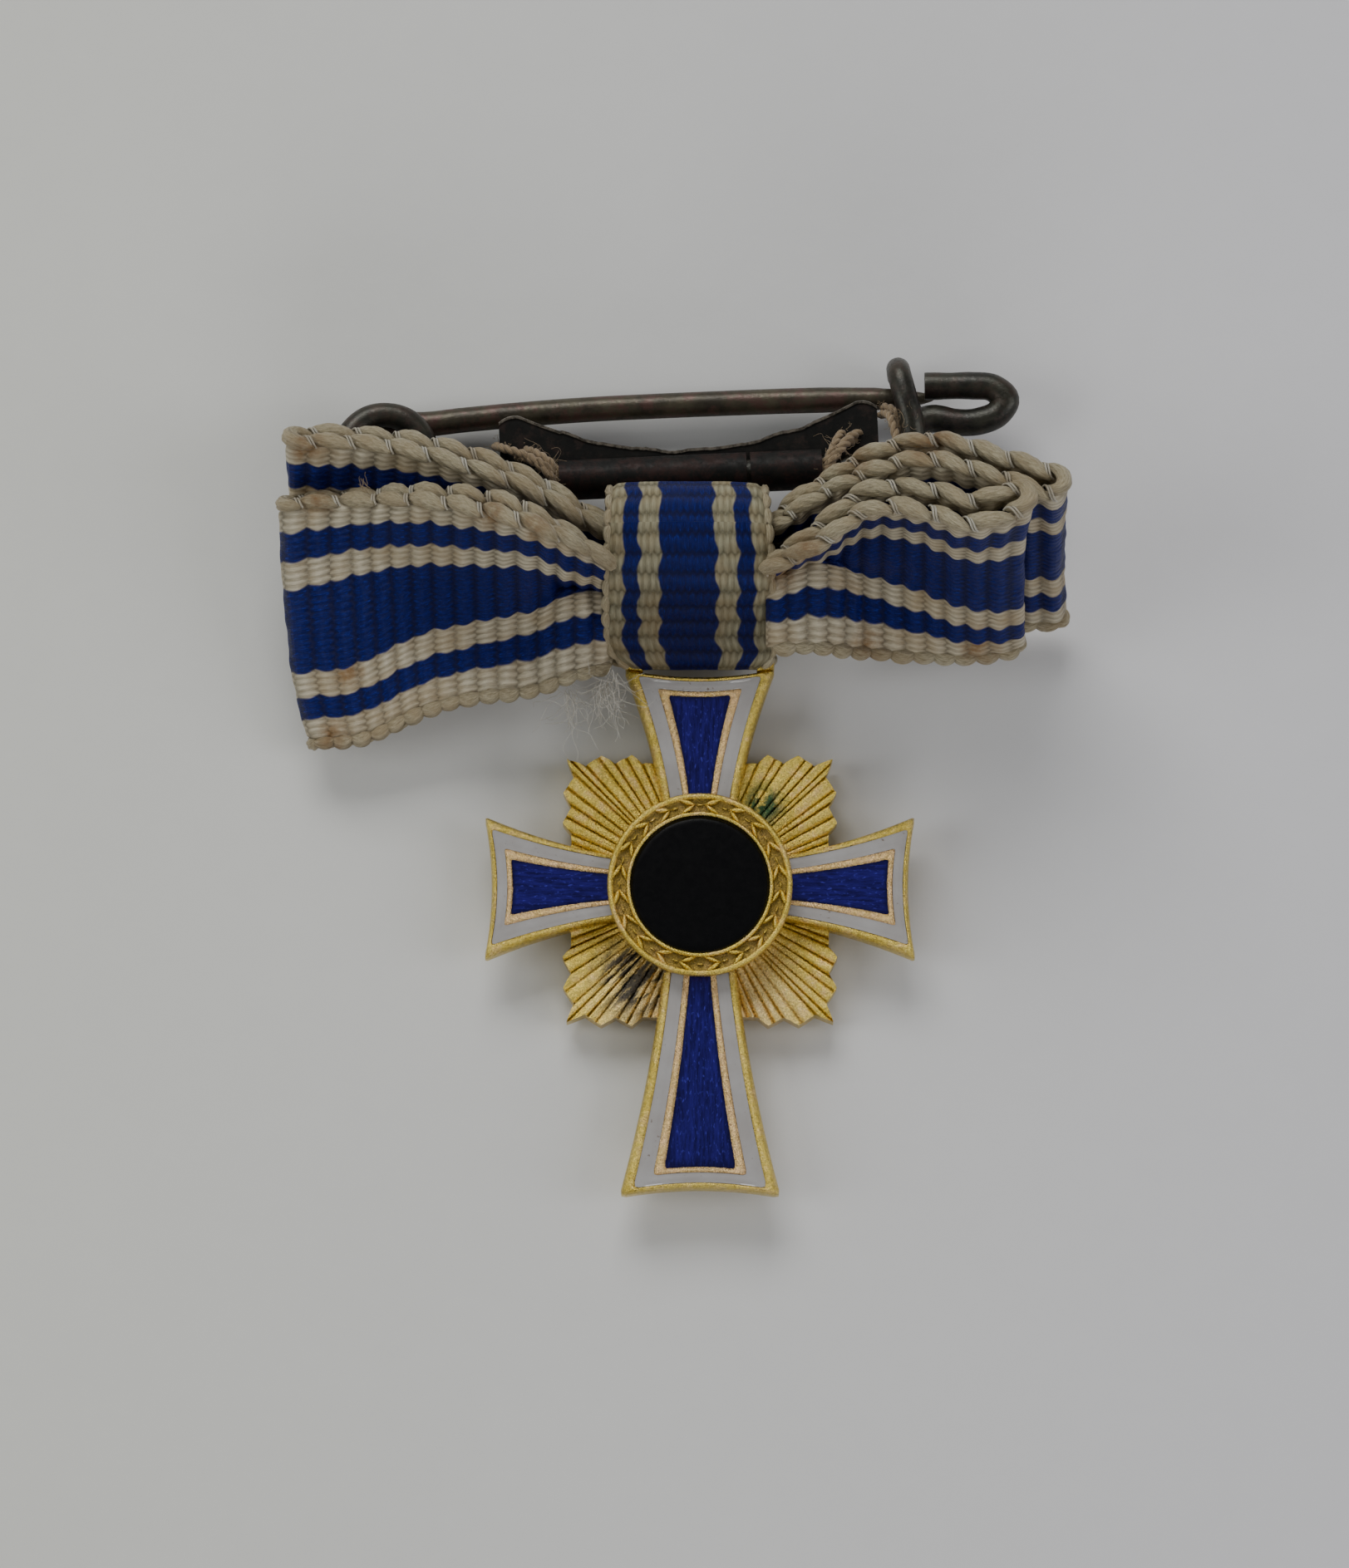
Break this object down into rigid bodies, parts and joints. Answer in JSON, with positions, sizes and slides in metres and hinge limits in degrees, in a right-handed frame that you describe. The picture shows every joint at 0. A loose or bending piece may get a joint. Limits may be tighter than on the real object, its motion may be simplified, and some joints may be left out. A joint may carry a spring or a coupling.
{
  "type": "award ribbon",
  "caption": "Miniature enamelled cross medal hanging from a striped grosgrain ribbon bow, with a wire brooch pin and backing plate behind the bow.",
  "frame": {"origin": "bottom centre of the whole object's box as it lies on its back on a surface", "axes": "+X to the wearer's left across the bow, as seen from the front; +Y from the cross up to the brooch pin; +Z out of the front face, away from the surface"},
  "size_m": [0.0306, 0.0334, 0.0109],
  "materials": {
    "gilt_metal": "satin gilt, fine sand-blasted grain, worn copper-pink on the rims",
    "white_enamel": "glossy opaque enamel",
    "blue_enamel": "glossy translucent enamel over engraved streaks",
    "black_enamel": "glossy black enamel",
    "bow_ribbon": "ribbed grosgrain with woven blue and off-white stripes",
    "knot_ribbon": "fine ribbed ribbon with woven blue and off-white stripes",
    "pin_wire": "dark patinated wire",
    "pin_plate": "black oxidised sheet, worn along its edges",
    "thread": "twisted brown sewing thread"
  },
  "bodies": {
    "bow": {"bow_front_left": "bow_ribbon", "bow_front_right": "bow_ribbon", "bow_rear_left": "bow_ribbon", "bow_rear_right": "bow_ribbon", "bow_core": "bow_ribbon", "knot_wrap": "knot_ribbon", "pin_base_wire": "pin_wire", "catch_hook": "pin_wire", "pin_plate": "pin_plate", "stitch_left": "thread", "stitch_right": "thread", "stitch_end": "thread"},
    "cross": {"cross_body": "gilt_metal", "ray_plate": "gilt_metal", "medallion_ring": "gilt_metal", "suspension_bar": "gilt_metal", "centre_rivet": "gilt_metal", "medallion_disc": "black_enamel", "enamel_white_top": "white_enamel", "enamel_white_left": "white_enamel", "enamel_white_right": "white_enamel", "enamel_white_bottom": "white_enamel", "enamel_blue_top": "blue_enamel", "enamel_blue_left": "blue_enamel", "enamel_blue_right": "blue_enamel", "enamel_blue_bottom": "blue_enamel"},
    "needle": {"pin_needle": "pin_wire"}
  },
  "joints": [
    {"name": "cross_swing", "type": "hinge", "parent": "bow", "child": "cross", "pos_m": [0.0009, 0.0049, 0.002], "axis": [-1, 0, 0], "range_deg": [-60, 65]},
    {"name": "needle_release", "type": "hinge", "parent": "bow", "child": "needle", "pos_m": [-0.01167, 0.01433, 0.001], "axis": [-0.0425, 0.9013, -0.4311], "range_deg": [0, 35]}
  ]
}
